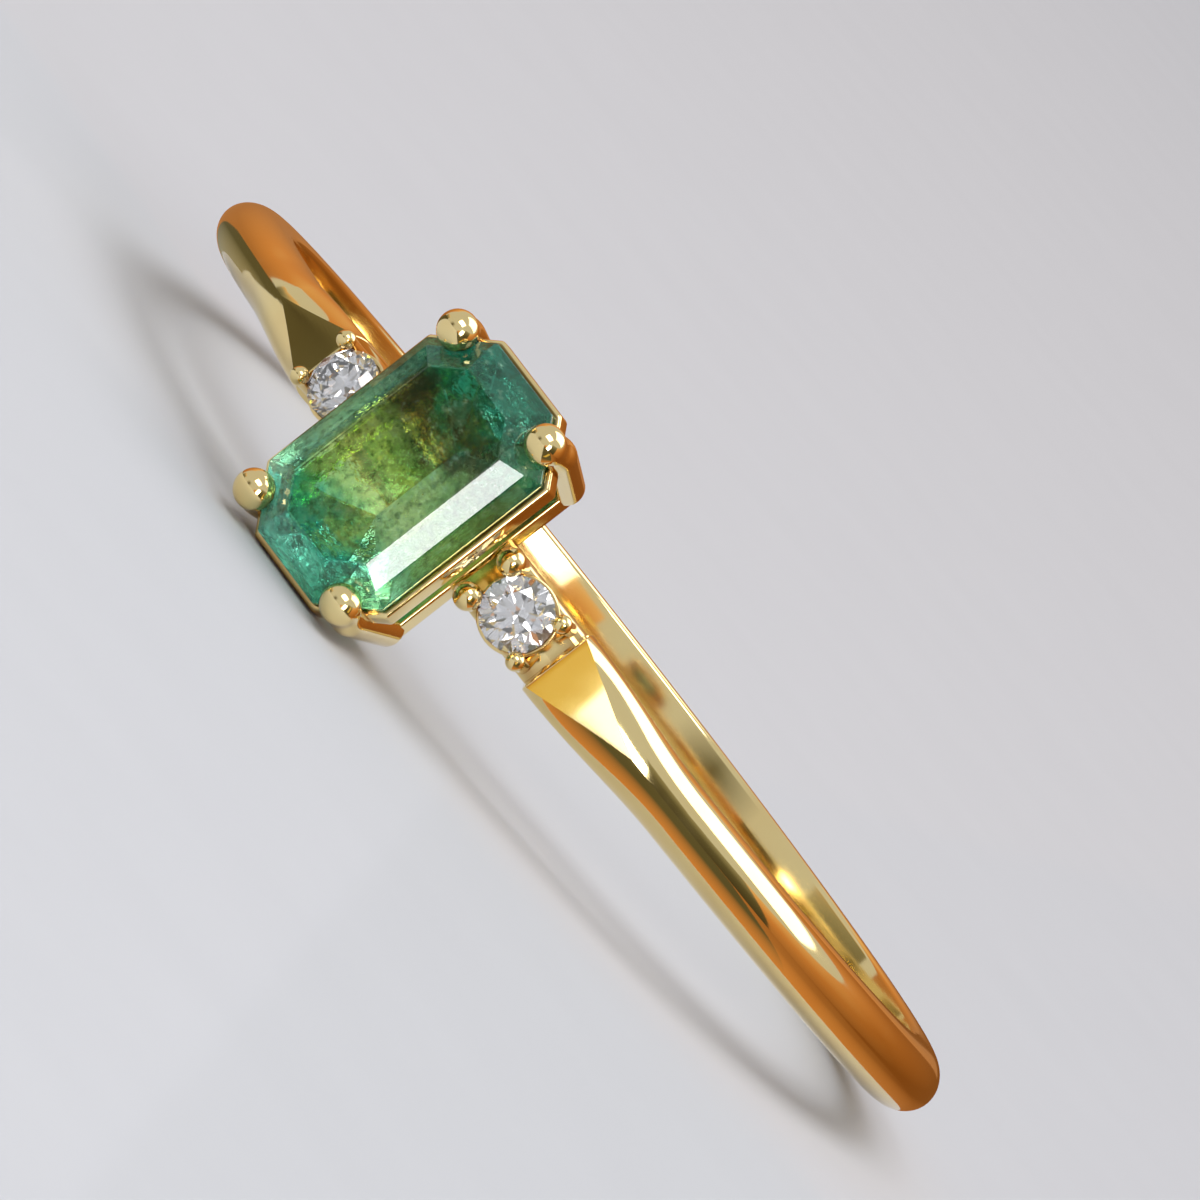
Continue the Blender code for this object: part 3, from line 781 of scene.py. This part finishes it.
def soldered(name, shapes, cuts):
    """One closed mesh: the first shape, joined with the others and cut by the cuts."""
    base = tool(name, shapes[0])
    helpers = [base]
    for operation, group in (("UNION", shapes[1:]), ("DIFFERENCE", cuts)):
        for shape in group:
            helper = tool(f"{name}_{len(helpers)}", shape)
            helpers.append(helper)
            change = base.modifiers.new(helper.name, "BOOLEAN")
            change.operation = operation
            change.solver = "EXACT"
            change.object = helper
    graph = bpy.context.evaluated_depsgraph_get()
    made = bpy.data.meshes.new_from_object(base.evaluated_get(graph))
    for helper in helpers:
        bpy.data.objects.remove(helper, do_unlink=True)
    return made


def basket_mesh():
    claws = [claw_shape(right, up) for right in (1, -1) for up in (1, -1)]
    stone = (EMERALD_LENGTH, EMERALD_WIDTH, EMERALD_CORNER)
    under_girdle = -EMERALD_GIRDLE - STONE_CLEARANCE
    gallery = rail_shape(*stone, GALLERY_PROUD, -GALLERY_LEDGE, under_girdle, GALLERY_HEIGHT)
    foot = claw_middle(BASE_MIDDLE, 1, 1)
    feet = (2 * foot.y, 2 * foot.x, BASE_RAIL_CORNER)
    base = rail_shape(*feet, BASE_RAIL_WIDTH / 2, -BASE_RAIL_WIDTH / 2, BASE_TOP, BASE_RAIL_HEIGHT)
    notch = hull_shape(emerald_corners(SEAT_PLAY))
    return crisp(soldered("gold_basket", [gallery, base, *claws], [notch]), SOLDER_CRISP)


place_piece("gold_basket", basket_mesh(), HEAD, gold, "band_and_setting")

# %% [markdown]
# ## The seats of the diamonds
#
# Each diamond sits in a small cup that stands on the bridge. Four beads on stems hold it, two bigger ones
# towards the emerald and two smaller ones towards the shoulder.

# %% Sizes of a seat
SEAT_RIM = 0.05 * MM
SEAT_DROP = 0.10 * MM
SEAT_FOOT = 0.45 * MM
CUP_MIDDLE = 0.2  # the innermost circle of the cup's top, as a share of its rim
BEAD_SIDES = 28
STEM_SHARE = 0.78
BEAD_RISE = 0.10 * MM
ROOTING = 0.15 * MM
RIM_EDGE = 0.03 * MM


def turned_shape(profile, x=0.0, y=0.0, sides=40):
    """A turned piece: circles whose radius and height follow a profile, round an upright axis."""
    return lofted([disc(Vector((x, y, height)), radius, sides) for radius, height in profile])


def bead_shape(radius, x, y, depth):
    """A round bead on its stem."""
    neck = math.asin(STEM_SHARE)
    profile = []
    for turn in steps(math.radians(3), math.pi - neck, BALL_STEPS):
        profile.append((radius * math.sin(turn), BEAD_RISE + radius * math.cos(turn)))
    profile.append((radius * STEM_SHARE, -depth))
    return turned_shape(profile, x, y, BEAD_SIDES)


def cup_shape(depth):
    rim = DIAMOND_DIAMETER / 2 + SEAT_RIM
    top = -DIAMOND_GIRDLE - SEAT_DROP
    profile = [(CUP_MIDDLE * rim, top), (rim - 2 * RIM_EDGE, top)]
    for turn in steps(math.pi / 2, 0.0, EDGE_STEPS):
        height = top - RIM_EDGE + RIM_EDGE * math.sin(turn)
        profile.append((rim - RIM_EDGE + RIM_EDGE * math.cos(turn), height))
    profile += [(rim, top - SEAT_DROP), (SEAT_FOOT, -depth)]
    return turned_shape(profile)


# %% The two seats
def seat_mesh(side, word):
    depth = DIAMOND_RADIUS - BRIDGE_TOP + ROOTING
    shapes = [cup_shape(depth)]
    beads = (
        (BIG_BEAD_RADIUS, BIG_BEAD_REACH, BIG_BEAD_TURN, -side),
        (SMALL_BEAD_RADIUS, SMALL_BEAD_REACH, SMALL_BEAD_TURN, side),
    )
    for radius, reach, turn, way in beads:
        for up in (1, -1):
            x = way * reach * math.cos(turn)
            y = up * reach * math.sin(turn)
            shapes.append(bead_shape(radius, x, y, depth))
    notch = hull_shape(brilliant_corners(SEAT_PLAY))
    return crisp(soldered(f"gold_seat_{word}", shapes, [notch]), SOLDER_CRISP)


for side, word in SIDES:
    place = on_ring(side * DIAMOND_ANGLE, DIAMOND_RADIUS)
    place_piece(f"gold_seat_{word}", seat_mesh(side, word), place, gold, "band_and_setting")

# %% [markdown]
# ## Camera
#
# The camera looks from the front right and a little from above, so that the head is turned to the left by
# the same angle as in the photograph, and it is rolled so that the band runs from the upper left to the
# lower right. A long lens from a distance keeps the small ring free of distortion.

# %% The camera
CAMERA_TURN = math.radians(21)
CAMERA_RISE = math.radians(7.0)
CAMERA_ROLL = math.radians(50.1)
LENS = 400.0
SENSOR = 36.0
FRAME_SIZE = 20.5 * MM


def direction(turn, rise):
    """A direction from the ring: turn to the right of the head, rise above the floor."""
    return Vector((math.sin(turn) * math.cos(rise), -math.cos(turn) * math.cos(rise), math.sin(rise)))


camera_data = bpy.data.cameras.new("camera")
camera_data.lens = LENS
camera_data.sensor_width = SENSOR
camera_data.clip_start = 0.01
camera_data.clip_end = 10.0
camera = bpy.data.objects.new("camera", camera_data)
bpy.context.scene.collection.objects.link(camera)
ring_low, ring_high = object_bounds()
aim = (ring_low + ring_high) / 2
distance = FRAME_SIZE * LENS / SENSOR
towards_camera = direction(CAMERA_TURN, CAMERA_RISE)
camera.location = aim + towards_camera * distance
look = towards_camera.to_track_quat("Z", "Y").to_matrix()
camera.rotation_euler = (look @ Matrix.Rotation(CAMERA_ROLL, 3, "Z")).to_euler()
bpy.context.scene.camera = camera
print("camera", round(distance, 3), "m away")

# %% [markdown]
# ## The floor
#
# The ring lies on a plain sheet of pale grey paper. The sheet is much larger than the picture, so that its
# edge is never seen in the polished gold either. Paper isn't quite even, so a fine noise lightens and darkens
# it by a trace.

# %% The floor
PAPER_GREY = ((0.495, 0.503, 0.527), (0.503, 0.511, 0.535))
FIBRE_SIZE = 4.0 * MM
PAPER_REACH = 2.0


def grey_paper():
    material, shader, add, links = new_material("grey_paper")
    where = add("ShaderNodeTexCoord").outputs["Object"]
    fibres = add("ShaderNodeTexNoise", Vector=where, Scale=1 / FIBRE_SIZE, Detail=2.0).outputs["Fac"]
    shade = colour_ramp(add, fibres, ((0.3, PAPER_GREY[0]), (0.7, PAPER_GREY[1])))
    links.new(shade, shader.inputs["Base Color"])
    shader.inputs["Roughness"].default_value = 0.9
    return material


floor_shape = bmesh.new()
bmesh.ops.create_grid(floor_shape, x_segments=1, y_segments=1, size=PAPER_REACH)
floor = bpy.data.objects.new("floor", mesh_of("floor", floor_shape))
bpy.context.scene.collection.objects.link(floor)
floor.data.materials.append(grey_paper())
print("the paper reaches", PAPER_REACH, "m to each side")

# %% [markdown]
# ## Soft light
#
# Polished gold has hardly a colour of its own: it shows what stands round it. The sky is a plain soft grey.
# One tall window of light on the right is the bright strip in the long facet of the emerald, its dimmer side
# pane is the pale triangle on the shoulder, and wide lamps overhead and in front fill in.

# %% The lights
SKY_GREY = (0.588, 0.595, 0.616)

world = bpy.data.worlds.new("studio")
bpy.context.scene.world = world
world.use_nodes = True
world.node_tree.nodes["Background"].inputs["Color"].default_value = (*SKY_GREY, 1.0)
world.node_tree.nodes["Background"].inputs["Strength"].default_value = 1.0


def soft_box(name, turn, rise, distance, width, height, brightness):
    """An area light that looks at the ring; brightness is that of its face, with white paper at 1."""
    light = bpy.data.lights.new(name, "AREA")
    light.shape = "RECTANGLE"
    light.size = width
    light.size_y = height
    light.energy = brightness * math.pi * width * height
    box = bpy.data.objects.new(name, light)
    bpy.context.scene.collection.objects.link(box)
    away = direction(math.radians(turn), math.radians(rise))
    box.location = aim + away * distance
    box.rotation_euler = away.to_track_quat("Z", "Y").to_euler()
    print(name, "shines from", turn, "degrees to the right of the head and", rise, "degrees up")


soft_box("window", 47.5, 10, 0.40, 0.09, 0.20, 14.0)
soft_box("window_side", 38.8, 10, 0.40, 0.032, 0.20, 2.0)
soft_box("ceiling", 150, 66, 0.70, 0.60, 0.60, 2.2)
soft_box("front_lamp", 5, 48, 0.50, 0.30, 0.20, 4.5)
bpy.context.scene.view_settings.view_transform = "Standard"

# %% [markdown]
# ## Reflector cards
#
# In an evenly lit room gold looks like brass paint. Jewellery is photographed between cards instead: warm
# ones make the metal glow and dark ones draw a line along each dome and round each bead. Some stand round the
# ring and some lie on the paper close to it, and they shine a little by themselves. The camera and the paper
# don't see them; only what is polished does. Towards the far end of the band the warm cards grow deeper, so
# that the gold there turns from orange to brown. A small honey coloured slip stands close in front of the
# right shoulder and colours the first half of its triangle.

# %% The cards
CARD_NEAR = BORE_RADIUS + BAND_THICKNESS + 0.4 * MM
CARD_FAR = 0.30
CARD_LIFT = 0.0002
CARD_COLUMNS = 24
MAT_STEP = 1.35  # where a mat reaches its second colour, times its near edge
WARM_BROWN = (0.42, 0.18, 0.06)
WARM_ORANGE = (0.62, 0.27, 0.09)
WARM_CREAM = (0.80, 0.52, 0.26)
DEEP_BROWN = (0.22, 0.075, 0.015)
DEEP_ORANGE = (0.36, 0.13, 0.03)
DARK_OLIVE = (0.11, 0.10, 0.055)
DARK_BROWN = (0.06, 0.05, 0.025)
OLIVE_GREY = (0.30, 0.28, 0.20)
HONEY_DEEP = (0.64, 0.43, 0.09)
HONEY = (0.74, 0.57, 0.17)
HONEY_REACH = 14.6 * MM
HONEY_FOOT = 1.0 * MM
HONEY_TOP = 4.0 * MM
RING_MIDDLE = Vector((LYING.translation.x, LYING.translation.y, 0.0))


def card(name, first_turn, last_turn, profile, fade_to=None):
    """A sheet that shines by itself, from one turn round the ring to another.

    The profile is a row of steps, each with its reach from the ring, its height and its colour. A second
    profile says which colours the first ones fade to on the way."""
    shape = bmesh.new()
    columns = []
    for turn in steps(first_turn, last_turn, CARD_COLUMNS):
        away = direction(math.radians(turn), 0.0)
        column = [RING_MIDDLE + away * reach + Vector((0.0, 0.0, height)) for reach, height, _ in profile]
        columns.append([shape.verts.new(point) for point in column])
    for column, following in zip(columns, columns[1:]):
        for low in range(len(profile) - 1):
            shape.faces.new((column[low], following[low], following[low + 1], column[low + 1]))
    sheet = bpy.data.objects.new(name, mesh_of(name, shape))
    glow = sheet.data.color_attributes.new("glow", "FLOAT_COLOR", "POINT")
    for corner in range(len(sheet.data.vertices)):
        column, row = divmod(corner, len(profile))
        ends = zip(profile[row][2], (fade_to or profile)[row][2])
        colour = [between(first, last, column / CARD_COLUMNS) for first, last in ends]
        glow.data[corner].color = (*colour, 1.0)
    bpy.context.scene.collection.objects.link(sheet)
    material, shader, add, links = new_material(f"{name}_glow")
    colour = add("ShaderNodeAttribute")
    colour.attribute_name = "glow"
    links.new(colour.outputs["Color"], shader.inputs["Emission Color"])
    shader.inputs["Emission Strength"].default_value = 1.0
    shader.inputs["Base Color"].default_value = (0.0, 0.0, 0.0, 1.0)
    shader.inputs["Specular IOR Level"].default_value = 0.0
    sheet.data.materials.append(material)
    sheet.visible_camera = False
    sheet.visible_diffuse = False
    sheet.visible_shadow = False


def standing(height, foot, middle, top):
    return ((CARD_FAR, 0.0, foot), (CARD_FAR, height / 2, middle), (CARD_FAR, height, top))


def lying(near, further, far):
    middle = CARD_NEAR * MAT_STEP
    return ((CARD_NEAR, CARD_LIFT, near), (middle, CARD_LIFT, further), (CARD_FAR, CARD_LIFT, far))


warm_wall = standing(0.22, WARM_BROWN, WARM_ORANGE, WARM_CREAM)
deep_wall = standing(0.22, DEEP_BROWN, DEEP_ORANGE, WARM_ORANGE)
dark_wall = standing(0.10, DARK_BROWN, DARK_OLIVE, SKY_GREY)
clear_sky = standing(0.10, SKY_GREY, SKY_GREY, SKY_GREY)
honey_deep = ((HONEY_REACH, HONEY_FOOT, HONEY_DEEP), (HONEY_REACH, HONEY_TOP, HONEY_DEEP))
honey = ((HONEY_REACH, HONEY_FOOT, HONEY), (HONEY_REACH, HONEY_TOP, HONEY))
warm_mat = lying(WARM_ORANGE, WARM_BROWN, WARM_BROWN)
deep_mat = lying(DEEP_ORANGE, DEEP_BROWN, DEEP_BROWN)
card("warm_wall_front", 24, 36.4, standing(0.06, WARM_ORANGE, WARM_ORANGE, WARM_CREAM))
card("honey_slip", 23.0, 29.2, honey_deep, honey)
card("dark_wall_right", 56, 90, standing(0.22, DARK_BROWN, DARK_OLIVE, OLIVE_GREY))
card("warm_wall_right", 90, 150, warm_wall, deep_wall)
card("deep_wall_right", 150, 190, deep_wall)
card("warm_wall_left", 190, 258, warm_wall)
card("dark_wall_left", 266, 296, standing(0.06, DARK_OLIVE, OLIVE_GREY, WARM_CREAM))
card("dark_wall_front_left", 322, 339, clear_sky, dark_wall)
card("dark_wall_front_right", 339, 354, dark_wall, clear_sky)
card("dark_mat_right", 22, 68, lying(WARM_ORANGE, DARK_OLIVE, DARK_BROWN))
card("warm_mat_right", 68, 125, warm_mat, deep_mat)
card("deep_mat_right", 125, 190, deep_mat)
card("warm_mat_left", 190, 262, warm_mat)
card("dark_mat_left", 262, 300, lying(OLIVE_GREY, DARK_OLIVE, DARK_BROWN))
print("cards reach from", CARD_NEAR, "to", CARD_FAR, "m from the ring's middle")
